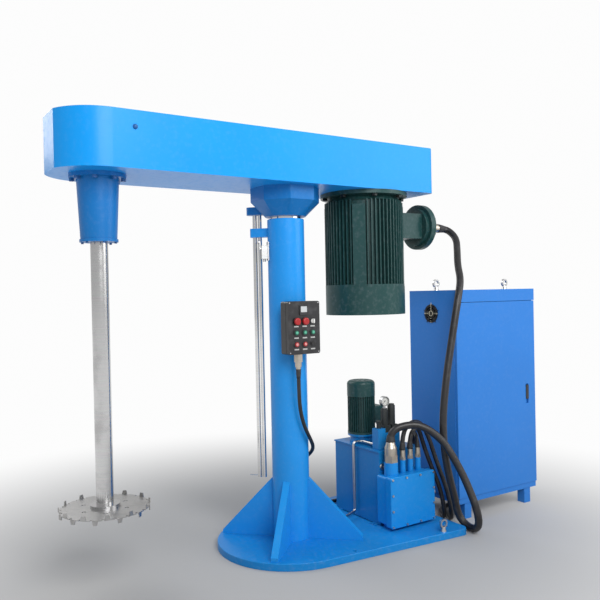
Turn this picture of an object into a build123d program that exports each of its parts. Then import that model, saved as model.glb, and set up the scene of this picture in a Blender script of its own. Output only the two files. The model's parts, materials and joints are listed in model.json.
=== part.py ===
from build123d import *
import math
import os

# High-speed mixer with a hydraulic lift, its oil unit and its electrical cabinet.
# Millimetres. The origin is on the column's axis at the floor, +X runs along the
# beam from the column towards the motor, +Z is up.

# Base plate and column
base_thickness = 40
base_nose_radius = 442
base_tail_x = 945
base_tail_half = 520
base_corner = 45
base_edge_chamfer = 3
anchor_radius = 11
anchor_inset_x = 95
anchor_spacing_x = 700
anchor_spacing_y = 840
column_od = 219
column_wall = 10
column_length = 1806
gland_height = 76
gusset_reach = 425
gusset_height = 350
gusset_thickness = 40
gusset_land = 22

# Lift
ram_diameter = 180
ram_length = 1740
ram_show = 15
ram_socket = 143
piston_height = 60
lift_travel = 1000
running_gap = 0.05
clear_gap = 0.3

# Head block under the beam
collar_flats = 381
collar_height = 82
taper_height = 85
taper_foot_diameter = 241
rod_bearing = 135
chrome_rod_radius = 13.5
dark_rod_radius = 12
chrome_rod_reach = 190
dark_rod_reach = 159.6
rod_foot_z = 385
rod_lug_height = 46
rod_stop_reach = 60
bracket_height = 52
bracket_width = 58
bracket_reach = 214
bracket_drop = 24

# Beam
beam_height = 284
beam_half = 258
beam_wall = 8
beam_floor = 12
cover_thickness = 6
nose_x = -1352
tail_x = 962
tail_corner = 40

# Spindle
spindle_x = -1114.5
shaft_radius = 43.5
spindle_flange_radius = 142
spindle_flange = 20
spindle_top_radius = 106
spindle_foot_radius = 90
spindle_foot_z = 1762
disc_z = 415
disc_radius = 224
disc_thickness = 5
tooth_count = 24
tooth_height = 22
tooth_length = 36
hub_radius = 75
hub_height = 18

# Belt drive
pulley_radius = 130
pulley_width = 140
pulley_lift = 46
belt_count = 5
belt_pitch = 25
belt_top_width = 17
belt_depth = 12
groove_extra = 5

# Main motor
motor_x = 589
fin_radius = 249.5
fin_root_radius = 222
fin_count = 60
fin_width = 6
pad_width = 92
motor_body_top = 2050
motor_body_foot = 1530
motor_flange_radius = 275
motor_flange = 24
motor_shaft_radius = 30
cowl_radius = 252
cowl_wall = 3
cowl_foot = 1342
terminal_z = 1912
terminal_neck_half = 82
terminal_pad_half = 38
terminal_neck_reach = 423
terminal_drum_radius = 126
terminal_cover_radius = 150
terminal_drum = 26
terminal_cover = 48
motor_gland_length = 145

# Oil unit
tank_x0 = 530
tank_x1 = 840
tank_y0 = -180
tank_y1 = 279
tank_foot = 6
tank_top = 489
tank_wall = 5
lid_thickness = 8
lid_overhang = 6
pump_x = 640
pump_y = 131
pump_motor_radius = 90
pump_motor_foot = 555
pump_motor_top = 800
pump_cowl_top = 903
pump_shaft_radius = 12
manifold_top = 627
pipe_radius = 9
pipe_z = 75

# Junction box
box_x0 = 503
box_x1 = 858
box_back = -180
box_body_front = -295
box_front = -320
box_foot = 57
box_top = 366
box_corner = 14
boss_height = 74
big_gland_x = 572
small_gland_xs = (665, 727, 790)
gland_y = -250
big_gland_height = 125
small_gland_height = 62

# Control station
station_x0 = -128
station_x1 = 84
station_z0 = 1137
station_z1 = 1438
station_front = -215
station_depth = 80
button_x = (-76, -20, 34)
button_rows = (1324, 1260, 1194)
button_radius = 13
button_stand = 9
button_travel = 5
mushroom_radius = 21
mushroom_stem = 9
mushroom_stand = 24
mushroom_travel = 6
button_depth = 10
meter_size = 56
meter_x = -26
meter_z = 1387
station_gland_x = -42
station_gland_y = -175
station_gland_foot = 1050

# Electrical cabinet
cab_x0 = 1068
cab_x1 = 1828
cab_front = -320
cab_back = 115
cab_foot = 102
cab_top = 1484
cab_wall = 3
door_thickness = 20
door_foot = 140
door_top = 1401
door_gap = 3
leg_width = 60
leg_inset = 60
rail_width = 46
fan_y = -96
fan_z = 1331
fan_hole = 62
fan_radius = 52
fan_depth = 38
handle_x = 1741
handle_top = 826
handle_foot = 692
handle_width = 26

# Cables: outer diameters
motor_cable_diameter = 46
supply_cable_diameter = 28
control_cable_diameter = 22
entry_z = 200

# Heights that follow
column_foot = base_thickness
column_top = column_foot + column_length
gland_top = column_top + gland_height
head_foot = gland_top + ram_show
collar_foot = head_foot + taper_height
beam_z = collar_foot + collar_height
beam_top = beam_z + beam_height
cover_z = beam_top - cover_thickness
column_radius = column_od / 2
ram_radius = ram_diameter / 2
ram_top = head_foot + ram_socket
pulley_z = beam_z + pulley_lift
pulley_mid = pulley_z + pulley_width / 2


def block(x0, x1, y0, y1, z0, z1):
    size = Box(x1 - x0, y1 - y0, z1 - z0)
    return Pos((x0 + x1) / 2, (y0 + y1) / 2, (z0 + z1) / 2) * size


def drum(radius, z0, z1, x=0, y=0):
    return Pos(x, y, (z0 + z1) / 2) * Cylinder(radius, z1 - z0)


def ring(outer, inner, z0, z1, x=0, y=0):
    return drum(outer, z0, z1, x, y) - drum(inner, z0 - 1, z1 + 1, x, y)


def cone(foot, top, z0, z1, x=0, y=0):
    return Pos(x, y, (z0 + z1) / 2) * Cone(foot, top, z1 - z0)


def rod_x(radius, x0, x1, y, z):
    return Pos((x0 + x1) / 2, y, z) * Rot(0, 90, 0) * Cylinder(radius, abs(x1 - x0))


def rod_y(radius, y0, y1, x, z):
    return Pos(x, (y0 + y1) / 2, z) * Rot(90, 0, 0) * Cylinder(radius, abs(y1 - y0))


def hexagon(radius, z0, z1, x=0, y=0):
    face = Pos(x, y, z0) * RegularPolygon(radius, 6)
    return extrude(face, z1 - z0)


def around(count, radius, x, y, start=0):
    places = []
    for step in range(count):
        angle = math.radians(start + 360 * step / count)
        places.append((x + radius * math.cos(angle), y + radius * math.sin(angle)))
    return places


def fuse(first, others):
    solid = first
    for other in others:
        solid = solid + other
    return solid


def grouped(solids):
    return Compound(children=[part.solid() if hasattr(part, "solid") else part for part in solids])


# Base plate: a round nose at the column and flared sides to a wide tail
def base_outline():
    nose = CenterArc((0, 0), base_nose_radius, 0, 360)
    edges = [nose]
    for side in (-1, 1):
        centre = (base_tail_x - base_corner, side * (base_tail_half - base_corner))
        edges.append(CenterArc(centre, base_corner, 0, 360))
    return make_hull(edges)


def base_plate():
    plate = extrude(base_outline(), base_thickness)
    rim = plate.faces().sort_by(Axis.Z)[-1].edges()
    plate = chamfer(rim, base_edge_chamfer)
    centre_x = base_tail_x - anchor_inset_x - anchor_spacing_x / 2
    for sx in (-1, 1):
        for sy in (-1, 1):
            hole_x = centre_x + sx * anchor_spacing_x / 2
            hole_y = sy * anchor_spacing_y / 2
            plate = plate - drum(anchor_radius, -1, base_thickness + 1, hole_x, hole_y)
    return plate


def column_gussets():
    foot = base_thickness
    seat = column_radius
    plates = []
    for step in range(4):
        profile = Polyline(
            (seat - 20, foot), (gusset_reach, foot), (gusset_reach, foot + gusset_land),
            (seat, foot + gusset_height), (seat - 20, foot + gusset_height), close=True)
        face = Plane.XZ * make_face(profile)
        plate = extrude(face, gusset_thickness / 2, both=True)
        plate = plate - drum(seat, foot - 1, foot + gusset_height + 1)
        plates.append(Rot(0, 0, 45 + 90 * step) * plate)
    return grouped(plates)


def column_tube():
    inner = column_radius - column_wall
    return ring(column_radius, inner, column_foot, column_top)


def column_gland():
    body = ring(column_radius, ram_radius + running_gap, column_top, gland_top)
    lip = body.edges().filter_by(GeomType.CIRCLE).group_by(Axis.Z)[-1].sort_by(SortBy.RADIUS)[-1]
    return chamfer(lip, 3)


# Ram with its piston head, inside the column
def ram():
    foot = ram_top - ram_length
    piston_radius = column_radius - column_wall - running_gap
    body = drum(ram_radius, foot, ram_top)
    return body + drum(piston_radius, foot, foot + piston_height)


# Head block: octagonal collar that narrows to a round foot
def head_block():
    across = collar_flats / 2 / math.cos(math.radians(22.5))
    collar_face = Pos(0, 0, collar_foot) * Rot(0, 0, 22.5) * RegularPolygon(across, 8)
    collar = extrude(collar_face, collar_height)
    foot_face = Pos(0, 0, head_foot) * Circle(taper_foot_diameter / 2)
    taper = loft([foot_face, collar_face])
    block_solid = collar + taper
    lug_top = collar_foot - 20
    lug_foot = lug_top - rod_lug_height
    lug = block(60, chrome_rod_reach + 24, -bracket_width / 2, bracket_width / 2, lug_foot, lug_top)
    lug = lug + drum(bracket_width / 2, lug_foot, lug_top, chrome_rod_reach + 20)
    block_solid = block_solid + Rot(0, 0, rod_bearing) * lug
    block_solid = block_solid - drum(ram_radius, head_foot - 1, ram_top)
    for reach, radius in rod_places():
        hole = drum(radius, lug_foot - 1, lug_top + 30, reach)
        block_solid = block_solid - Rot(0, 0, rod_bearing) * hole
    return block_solid


def rod_places():
    return ((chrome_rod_reach, chrome_rod_radius), (dark_rod_reach, dark_rod_radius))


# Two rods that hang from the head block and slide through the column's bracket
def guide_rods():
    rod_top = collar_foot - 20
    rods = []
    for reach, radius in rod_places():
        rod = drum(radius, rod_foot_z, rod_top, reach)
        if radius == chrome_rod_radius:
            stop_z = rod_foot_z + 12
            rod = rod + rod_x(4, reach, reach + rod_stop_reach, 0, stop_z)
        rods.append(Rot(0, 0, rod_bearing) * rod)
    return grouped(rods)


def rod_bracket():
    top = column_top - bracket_drop + 52
    foot = top - bracket_height
    half = bracket_width / 2
    body = block(column_radius - 30, bracket_reach, -half, half, foot, top)
    body = body - drum(column_radius, foot - 1, top + 1)
    for reach, radius in rod_places():
        body = body - drum(radius + running_gap, foot - 1, top + 1, reach)
    tips = body.edges().filter_by(Axis.Z).sort_by(Axis.X)[-2:]
    body = chamfer(tips, 8)
    return Rot(0, 0, rod_bearing) * body


# Limit switch on the column, with a roller lever towards the dark rod
def limit_switch():
    seat = column_radius
    z0 = 1690
    plate = block(seat - 12, seat + 4, -22, 22, z0 - 10, z0 + 100)
    plate = plate - drum(seat, z0 - 20, z0 + 120)
    body = block(seat + 4, seat + 40, -16, 16, z0, z0 + 78)
    body = body + rod_x(9, seat + 40, seat + 46, 0, z0 + 60)
    body = body + drum(9, z0 - 16, z0, seat + 22)
    lever = block(seat + 46, seat + 51, -6, 6, z0 + 56, z0 + 104)
    roller = rod_x(9, seat + 51, seat + 60, 0, z0 + 98)
    body = fuse(plate, [body, lever, roller])
    return Rot(0, 0, 160) * body


def eyebolt(x, y, z):
    eye = rod_y(28, y - 7, y + 7, x, z + 46) - rod_y(17, y - 8, y + 8, x, z + 46)
    neck = cone(18, 12, z, z + 24, x, y)
    neck = neck - rod_y(17, y - 20, y + 20, x, z + 46)
    return eye + neck


def eyebolt_places():
    middle = -100
    return ((774, -475, base_thickness), (774, 475, base_thickness),
            (cab_x0 + 45, middle, cab_top), (cab_x1 - 45, middle, cab_top))


def lifting_eyebolts():
    return grouped([eyebolt(x, y, z) for x, y, z in eyebolt_places()])


# Oil tank: folded box on two foot strips, with lugs for its bolts
def oil_tank():
    z0 = base_thickness
    shell = block(tank_x0, tank_x1, tank_y0, tank_y1, z0 + tank_foot, tank_top)
    inner = block(tank_x0 + tank_wall, tank_x1 - tank_wall, tank_y0 + tank_wall,
                  tank_y1 - tank_wall, z0 + tank_foot + tank_wall, tank_top + 1)
    shell = shell - inner
    for y in (tank_y0 + 20, tank_y1 - 70):
        lug = block(tank_x0 - 26, tank_x1 + 20, y, y + 50, z0, z0 + tank_foot)
        shell = shell + lug
        for x in (tank_x0 - 13, tank_x1 + 10):
            shell = shell - drum(6, z0 - 1, z0 + tank_foot + 1, x, y + 25)
    return shell


def tank_lid():
    z0 = tank_top
    z1 = z0 + lid_thickness
    edge = lid_overhang
    lid = block(tank_x0 - edge, tank_x1 + edge, tank_y0 - edge + 6, tank_y1 + edge, z0, z1)
    lid = lid + cone(80, 76, z1, pump_motor_foot - 12, pump_x, pump_y)
    lid = lid + drum(92, pump_motor_foot - 12, pump_motor_foot, pump_x, pump_y)
    bore = drum(pump_shaft_radius + running_gap, z0 - 1, pump_motor_foot + 1, pump_x, pump_y)
    lid = lid - bore
    breather = drum(24, z1, z1 + 30, 790, 220) + drum(30, z1 + 30, z1 + 58, 790, 220)
    return lid + breather


def oil_pump():
    z1 = tank_top
    body = block(pump_x - 45, pump_x + 45, pump_y - 36, pump_y + 36, z1 - 130, z1)
    body = body - drum(pump_shaft_radius + running_gap, z1 - 90, z1 + 1, pump_x, pump_y)
    strainer_x = pump_x + 20
    suction = drum(12, z1 - 260, z1 - 130, strainer_x, pump_y)
    strainer = drum(36, z1 - 380, z1 - 260, strainer_x, pump_y)
    return fuse(body, [suction, strainer])


def finned_round(core, outer, count, width, z0, z1, gap_angles=(), gap=0.0):
    shape = Circle(core)
    for step in range(count):
        angle = 360 * step / count + 180 / count
        near = [abs((angle - mark + 180) % 360 - 180) for mark in gap_angles]
        if near and min(near) < gap:
            continue
        length = outer - core + 4
        fin = Pos(core - 4 + length / 2, 0) * Rectangle(length, width)
        shape = shape + Rot(0, 0, angle) * fin
    return extrude(Pos(0, 0, z0) * shape, z1 - z0)


def pump_motor_frame():
    core = pump_motor_radius - 14
    body = finned_round(core, pump_motor_radius, 36, 4, pump_motor_foot + 14, pump_motor_top)
    body = Pos(pump_x, pump_y, 0) * body
    body = body + drum(92, pump_motor_foot, pump_motor_foot + 14, pump_x, pump_y)
    terminal = block(pump_x + core - 4, pump_x + 150, pump_y - 50, pump_y + 50, 615, 725)
    body = body + fillet(terminal.edges().filter_by(Axis.X), 10)
    bore = drum(pump_shaft_radius + running_gap, pump_motor_foot - 1, pump_motor_top + 1,
                pump_x, pump_y)
    return body - bore


def pump_motor_cowl():
    radius = pump_motor_radius + 2
    z0 = pump_motor_top
    cap = drum(radius, z0, pump_cowl_top, pump_x, pump_y)
    cap = fillet(cap.faces().sort_by(Axis.Z)[-1].edges(), 26)
    inner = drum(radius - 3, z0 - 1, pump_cowl_top - 22, pump_x, pump_y)
    cap = cap - inner
    for x, y in around(8, 45, pump_x, pump_y):
        cap = cap - drum(9, pump_cowl_top - 30, pump_cowl_top + 1, x, y)
    return cap


def fan_blades(hub, tip, count, width, thickness):
    blades = []
    for step in range(count):
        length = tip - hub + 3
        blade = Box(length, thickness, width)
        blade = Pos(hub - 3 + length / 2, 0, 0) * Rot(35, 0, 0) * blade
        blades.append(Rot(0, 0, 360 * step / count) * blade)
    return blades


def pump_fan():
    foot = tank_top - 80
    top = pump_motor_top + 62
    shaft = drum(pump_shaft_radius, foot, top, pump_x, pump_y)
    hub = drum(22, top - 34, top - 4, pump_x, pump_y)
    place = Pos(pump_x, pump_y, top - 19)
    blades = [place * blade for blade in fan_blades(22, 76, 7, 26, 3)]
    return fuse(shaft, [hub] + blades)


def valve_block():
    z0 = tank_top + lid_thickness
    post = block(552, 610, -150, -90, z0, manifold_top)
    body = block(610, 726, -150, -60, z0, 598)
    return post + body


def solenoid_valves():
    solids = []
    for index, x in enumerate((640, 697)):
        z0 = 598
        valve = block(x - 23, x + 23, -140, -70, z0, z0 + 44)
        coil_top = 735 + 24 * index
        coil = drum(24, z0 + 44, coil_top, x, -105)
        coil = coil + drum(19, coil_top, coil_top + 10, x, -105)
        valve = valve + coil
        solids.append(valve)
    check = drum(15, manifold_top, manifold_top + 30, 581, -120)
    check = check + hexagon(19, manifold_top + 30, manifold_top + 46, 581, -120)
    solids.append(check)
    return grouped(solids)


gauge_x = 640
gauge_y = -105
gauge_z = 790
gauge_radius = 31


# Gauge: stem, case with a rim, hollow dial side towards the front
def pressure_gauge():
    stem = drum(6, 745, gauge_z - gauge_radius + 4, gauge_x, gauge_y)
    nut = hexagon(11, 745, 753, gauge_x, gauge_y)
    case = rod_y(gauge_radius, gauge_y - 16, gauge_y + 12, gauge_x, gauge_z)
    dish = rod_y(gauge_radius - 4, gauge_y - 17, gauge_y - 6, gauge_x, gauge_z)
    pin = rod_y(1.5, gauge_y - 13, gauge_y - 6, gauge_x, gauge_z)
    return fuse(case - dish, [stem, nut, pin])


def gauge_needle():
    front = gauge_y - 9
    hub = rod_y(3.2, front - 1, front + 1.5, gauge_x, gauge_z)
    arm = block(gauge_x - 1, gauge_x + 1, front - 1, front, gauge_z - 8, gauge_z + 20)
    needle = hub + arm - rod_y(1.5 + running_gap, front - 3, front + 3, gauge_x, gauge_z)
    turned = Pos(gauge_x, 0, gauge_z) * Rot(0, -130, 0) * Pos(-gauge_x, 0, -gauge_z)
    return turned * needle


def route_tube(points, radii, radius):
    path = FilletPolyline(*points, radius=radii)
    start = path @ 0
    section = Plane(origin=start, z_dir=path % 0) * Circle(radius)
    return sweep(section, path)


# Each bend takes 0.45 of the shorter of its two runs
def bend_radii(points):
    radii = []
    for before, corner, after in zip(points, points[1:], points[2:]):
        run_in = Vector(*corner) - Vector(*before)
        run_out = Vector(*after) - Vector(*corner)
        turn = math.radians(run_in.get_angle(run_out))
        shorter = min(run_in.length, run_out.length)
        radii.append(0.45 * shorter / math.tan(turn / 2))
    return radii


def cable(name, points, diameter):
    radii = bend_radii(points)
    tube = route_tube(points, radii, diameter / 2)
    runs = [(Vector(*b) - Vector(*a)).length for a, b in zip(points, points[1:])]
    path = FilletPolyline(*points, radius=radii)
    section = math.pi * (diameter / 2) ** 2
    print(name, "length", round(path.length), "runs", [round(run) for run in runs])
    print(name, "radii", [round(radius) for radius in radii],
          "volume ratio", round(tube.volume / (section * path.length), 4))
    return tube


def oil_pipe():
    top = tank_top + lid_thickness + 22
    manifold_back = -90
    side_x = tank_x0 - lid_overhang - pipe_radius - 2
    points = [(column_radius, 0, pipe_z), (395, 0, pipe_z), (side_x, 55, pipe_z),
              (side_x, 55, top), (581, 55, top), (581, manifold_back, top)]
    pipe = route_tube(points, [60, 20, 20, 20], pipe_radius)
    return pipe


# Junction box: cast body, bosses on top and one boss on its side
def junction_box():
    body = block(box_x0 + 8, box_x1 - 8, box_body_front, box_back, box_foot + 8, box_top - 8)
    body = fillet(body.edges().filter_by(Axis.Y), box_corner)
    flange = block(box_x0, box_x1, box_body_front, box_body_front + 22, box_foot, box_top)
    flange = fillet(flange.edges().filter_by(Axis.Y), box_corner)
    body = body + flange
    boss_top = box_top + boss_height
    body = body + drum(43, box_top - 12, boss_top, big_gland_x, gland_y + 8)
    for x in small_gland_xs:
        body = body + drum(18, box_top - 12, boss_top, x, gland_y + 8)
    body = body + rod_x(34, box_x1 - 12, box_x1 + 16, -236, 200)
    for x in (box_x0 + 60, box_x1 - 60):
        body = body + block(x - 22, x + 22, -262, -200, base_thickness, box_foot + 10)
    return body


def junction_cover():
    cover = block(box_x0, box_x1, box_front, box_body_front, box_foot, box_top)
    cover = fillet(cover.edges().filter_by(Axis.Y), box_corner)
    front = cover.faces().sort_by(Axis.Y)[0].edges()
    return chamfer(front, 3)


def cover_bolt_places():
    inset = 13
    xs = [box_x0 + inset + step * (box_x1 - box_x0 - 2 * inset) / 3 for step in range(4)]
    zs = [box_foot + inset + step * (box_top - box_foot - 2 * inset) / 3 for step in range(4)]
    places = []
    for x in xs:
        for z in zs:
            if x in (xs[0], xs[-1]) or z in (zs[0], zs[-1]):
                places.append((x, z))
    return places


def junction_bolts():
    bolts = []
    for x, z in cover_bolt_places():
        head = rod_y(6.5, box_front - 8, box_front, x, z)
        bolts.append(head)
    return grouped(bolts)


def gland_stack(x, y, z, radius, height, bore):
    nut = hexagon(radius * 1.12, z, z + height * 0.35, x, y)
    collar = drum(radius, z + height * 0.35, z + height * 0.7, x, y)
    taper = cone(radius, bore + 2, z + height * 0.7, z + height, x, y)
    return fuse(nut, [collar, taper])


def cable_glands():
    boss_top = box_top + boss_height
    y = gland_y + 8
    solids = [gland_stack(big_gland_x, y, boss_top, 38, big_gland_height,
                          motor_cable_diameter / 2)]
    for x in small_gland_xs:
        solids.append(gland_stack(x, y, boss_top, 17, small_gland_height,
                                  supply_cable_diameter / 2))
    boot = rod_x(30, box_x1 + 16, box_x1 + 40, -236, 200)
    boot = boot + rod_x(22, box_x1 + 40, box_x1 + 62, -236, 200)
    solids.append(boot)
    plug = rod_y(20, box_back - 14, box_back, 552, 404) - rod_y(9, box_back - 15, box_back - 5, 552, 404)
    solids.append(plug)
    foot = station_gland_foot
    station = hexagon(27, station_z0 - 46, station_z0, station_gland_x, station_gland_y)
    station = station + drum(19, foot + 12, station_z0 - 46, station_gland_x, station_gland_y)
    station = station + drum(14, foot, foot + 12, station_gland_x, station_gland_y)
    solids.append(station)
    return grouped(solids)


# Control station on the column
def control_box():
    back = station_front + station_depth
    box = block(station_x0, station_x1, station_front, back, station_z0, station_z1)
    box = fillet(box.edges().filter_by(Axis.Y), 12)
    seam = block(station_x0 - 1, station_x1 + 1, station_front + 26, station_front + 29,
                 station_z0 - 1, station_z1 + 1)
    core = block(station_x0 + 3, station_x1 - 3, station_front + 25, station_front + 30,
                 station_z0 + 3, station_z1 - 3)
    box = box - (seam - core)
    saddle = block(-60, 30, back, -column_radius + 30, station_z0 + 40, station_z1 - 40)
    saddle = saddle - drum(column_radius, station_z0, station_z1)
    box = box + saddle
    for kind, x, z in controls():
        radius = mushroom_stem if kind == "mushroom_button" else button_radius
        depth = button_depth + button_travel + 3
        hole = rod_y(radius + clear_gap, station_front - 1, station_front + depth, x, z)
        box = box - hole
    for kind, x, z in controls():
        if kind != "mushroom_button":
            bezel = rod_y(button_radius + 6, station_front - 4, station_front, x, z)
            bezel = bezel - rod_y(button_radius + clear_gap, station_front - 5,
                                  station_front + 1, x, z)
            box = box + bezel
    return box


def controls():
    top, middle, low = button_rows
    left, centre, right = button_x
    return [("mushroom_button", left, top), ("mushroom_button", centre, top),
            ("selector_knob", right, top), ("green_button", left, middle),
            ("green_button", centre, middle), ("green_button", right, middle),
            ("red_button", left, low), ("red_button", centre, low),
            ("black_button", right, low)]


def push_button(x, z):
    front = station_front - button_stand
    button = rod_y(button_radius, front, station_front + button_depth, x, z)
    return chamfer(button.faces().sort_by(Axis.Y)[0].edges(), 1.5)


def mushroom_button(x, z):
    front = station_front - mushroom_stand
    head = rod_y(mushroom_radius, front, front + 13, x, z)
    head = fillet(head.faces().sort_by(Axis.Y)[0].edges(), 7)
    return head + rod_y(mushroom_stem, front + 13, station_front + button_depth, x, z)


def selector_knob(x, z):
    front = station_front - 8
    base = rod_y(button_radius, front, station_front + button_depth, x, z)
    wing = block(x - 4, x + 4, front - 11, front, z - button_radius + 1, z + button_radius - 1)
    return base + wing


def panel_meter():
    half = meter_size / 2
    body = block(meter_x - half, meter_x + half, station_front - 7, station_front,
                 meter_z - half, meter_z + half)
    window = block(meter_x - half + 5, meter_x + half - 5, station_front - 8, station_front - 5,
                   meter_z - half + 14, meter_z + half - 5)
    return fillet(body.edges().filter_by(Axis.Y), 3) - window


# Cabinet shell: box open at the front and below, on a rail with four legs
def cabinet_shell():
    shell_front = cab_front + door_thickness
    rail_top = door_foot - 2
    outer = block(cab_x0, cab_x1, shell_front, cab_back, rail_top, cab_top)
    inner = block(cab_x0 + cab_wall, cab_x1 - cab_wall, shell_front - 1, cab_back - cab_wall,
                  rail_top + cab_wall, cab_top - cab_wall)
    shell = outer - inner
    fascia = block(cab_x0, cab_x1, cab_front, shell_front + 18, door_top + door_gap, cab_top)
    hollow = block(cab_x0 + cab_wall, cab_x1 - cab_wall, cab_front + cab_wall, shell_front + 19,
                   door_top + door_gap + cab_wall, cab_top - cab_wall)
    shell = shell + (fascia - hollow)
    step = 6
    rail = block(cab_x0 + step, cab_x1 - step, cab_front + step, cab_back - step,
                 cab_foot, rail_top)
    well = block(cab_x0 + rail_width, cab_x1 - rail_width, cab_front + rail_width,
                 cab_back - rail_width, cab_foot - 1, rail_top + cab_wall + 1)
    shell = shell + rail - well
    for sx in (-1, 1):
        for sy in (-1, 1):
            middle_x = (cab_x0 + cab_x1) / 2
            middle_y = (cab_front + cab_back) / 2
            x = middle_x + sx * ((cab_x1 - cab_x0) / 2 - leg_inset - leg_width / 2)
            y = middle_y + sy * ((cab_back - cab_front) / 2 - 12 - leg_width / 2)
            shell = shell + block(x - 30, x + 30, y - 30, y + 30, 0, cab_foot)
    return shell - rod_x(fan_hole, cab_x0 - 1, cab_x0 + cab_wall + 1, fan_y, fan_z)


def cabinet_door():
    back = cab_front + door_thickness - clear_gap
    x0 = cab_x0 + door_gap
    x1 = cab_x1 - door_gap
    panel = block(x0, x1, cab_front, back, door_foot, door_top)
    pocket = block(x0 + 22, x1 - 22, cab_front + 2, back + 1, door_foot + 22, door_top - 22)
    panel = panel - pocket
    half = handle_width / 2 + 8
    boss = block(handle_x - half, handle_x + half, cab_front + 2, back,
                 handle_foot - 8, handle_top + 8)
    panel = panel + boss
    slot = block(handle_x - handle_width / 2, handle_x + handle_width / 2, cab_front - 1,
                 cab_front + 12, handle_foot, handle_top)
    return panel - slot


def door_handle():
    gap = clear_gap
    half = handle_width / 2 - gap
    lever = block(handle_x - half, handle_x + half, cab_front - 4, cab_front + 8,
                  handle_foot + 30, handle_top - 8)
    lever = fillet(lever.edges().filter_by(Axis.Y), 4)
    return lever


# Wiring inside: mounting plate, inverter, breaker, contactors, rail and ducts
def switchgear():
    plate_y = 92
    plate = block(cab_x0 + 50, cab_x1 - 50, plate_y, plate_y + 3, 230, 1400)
    for x in (cab_x0 + 80, cab_x1 - 80):
        for z in (270, 1360):
            plate = plate + rod_y(8, plate_y + 3, cab_back - cab_wall, x, z)
    solids = [plate]
    inverter = block(1480, 1730, plate_y - 190, plate_y, 780, 1290)
    inverter = fillet(inverter.edges().filter_by(Axis.Y), 8)
    keypad = block(1570, 1640, plate_y - 196, plate_y - 190, 1090, 1200)
    inverter = inverter + keypad
    for step in range(7):
        z = 830 + 22 * step
        inverter = inverter - block(1500, 1710, plate_y - 191, plate_y - 182, z, z + 9)
    solids.append(inverter)
    solids.append(block(1180, 1290, plate_y - 88, plate_y, 1150, 1330))
    for step in range(3):
        x = 1160 + 82 * step
        body = block(x, x + 62, plate_y - 90, plate_y, 880, 980)
        solids.append(body + block(x + 8, x + 54, plate_y - 100, plate_y - 90, 900, 960))
    for z in (1050, 780, 640):
        solids.append(block(1140, 1440, plate_y - 60, plate_y, z, z + 40))
    solids.append(block(1120, 1760, plate_y - 48, plate_y, 400, 460))
    clamp_foot = block(1300, 1480, -100, plate_y, entry_z, entry_z + 6)
    solids.append(clamp_foot + block(1300, 1480, plate_y - 4, plate_y, entry_z + 6, entry_z + 42))
    return grouped(solids)


# Fan frame inside the wall, and a wire guard outside
def fan_guard():
    inside = cab_x0 + cab_wall
    half = 64
    frame = block(inside, inside + fan_depth, fan_y - half, fan_y + half,
                  fan_z - half, fan_z + half)
    frame = frame - rod_x(fan_radius + 4, inside - 1, inside + fan_depth + 1, fan_y, fan_z)
    stator = rod_x(17, inside + 26, inside + fan_depth, fan_y, fan_z)
    stator = stator - rod_x(3 + running_gap, inside + 25, inside + fan_depth - 2, fan_y, fan_z)
    arms = []
    for step in range(4):
        arm = block(inside + fan_depth - 5, inside + fan_depth, fan_y - 3, fan_y + 3,
                    fan_z + 12, fan_z + fan_radius + 6)
        turn = Pos(0, fan_y, fan_z) * Rot(45 + 90 * step, 0, 0) * Pos(0, -fan_y, -fan_z)
        arms.append(turn * arm)
    frame = fuse(frame, [stator] + arms)
    wires = []
    out = cab_x0 - 3
    for radius in (18, 34, 50, 60):
        band = rod_x(radius, out - 3, out, fan_y, fan_z)
        wires.append(band - rod_x(radius - 3, out - 4, out + 1, fan_y, fan_z))
    for step in range(5):
        spoke = block(out, cab_x0, fan_y - 2, fan_y + 2, fan_z + 14, fan_z + fan_hole + 10)
        turn = Pos(0, fan_y, fan_z) * Rot(72 * step, 0, 0) * Pos(0, -fan_y, -fan_z)
        wires.append(turn * spoke)
    guard = fuse(wires[0], wires[1:])
    return grouped([frame, guard])


def cabinet_fan():
    inside = cab_x0 + cab_wall
    turn = Pos(inside + 13, fan_y, fan_z) * Rot(0, 90, 0)
    hub = turn * Cylinder(20, 22) + rod_x(3, inside + 20, inside + 34, fan_y, fan_z)
    blades = [turn * blade for blade in fan_blades(20, fan_radius, 7, 15, 2)]
    return fuse(hub, blades)


# Beam: a tray with a round nose that is cut flat at its tip, and a cover
def beam_outline(inset):
    half = beam_half - inset
    nose = nose_x + inset
    tail = tail_x - inset
    body = Pos((spindle_x + tail) / 2, 0) * Rectangle(tail - spindle_x, 2 * half)
    body = fillet(body.vertices().group_by(Axis.X)[-1], tail_corner - inset)
    outline = body + Pos(spindle_x, 0) * Circle(half)
    cut = Pos(nose - 100, 0) * Rectangle(200, 2 * half + 2)
    return outline - cut


def beam_housing():
    tray = extrude(Pos(0, 0, beam_z) * beam_outline(0), cover_z - beam_z)
    hollow = extrude(Pos(0, 0, beam_z + beam_floor) * beam_outline(beam_wall),
                     cover_z - beam_z)
    tray = tray - hollow
    tray = tray - drum(shaft_radius + 8, beam_z - 1, beam_z + beam_floor + 1, spindle_x)
    return tray - drum(motor_shaft_radius + 8, beam_z - 1, beam_z + beam_floor + 1, motor_x)


def beam_cover():
    return extrude(Pos(0, 0, cover_z) * beam_outline(0), cover_thickness)


# Spindle housing under the beam's nose
def spindle_housing():
    flange_z = beam_z - spindle_flange
    top = ring(spindle_flange_radius, shaft_radius, flange_z, beam_z, spindle_x)
    body = cone(spindle_foot_radius, spindle_top_radius, spindle_foot_z, flange_z, spindle_x)
    lip = drum(spindle_foot_radius + 6, spindle_foot_z, spindle_foot_z + 14, spindle_x)
    housing = fuse(top, [body, lip])
    bore = drum(shaft_radius + running_gap, spindle_foot_z - 1, beam_z + 1, spindle_x)
    return housing - bore


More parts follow.
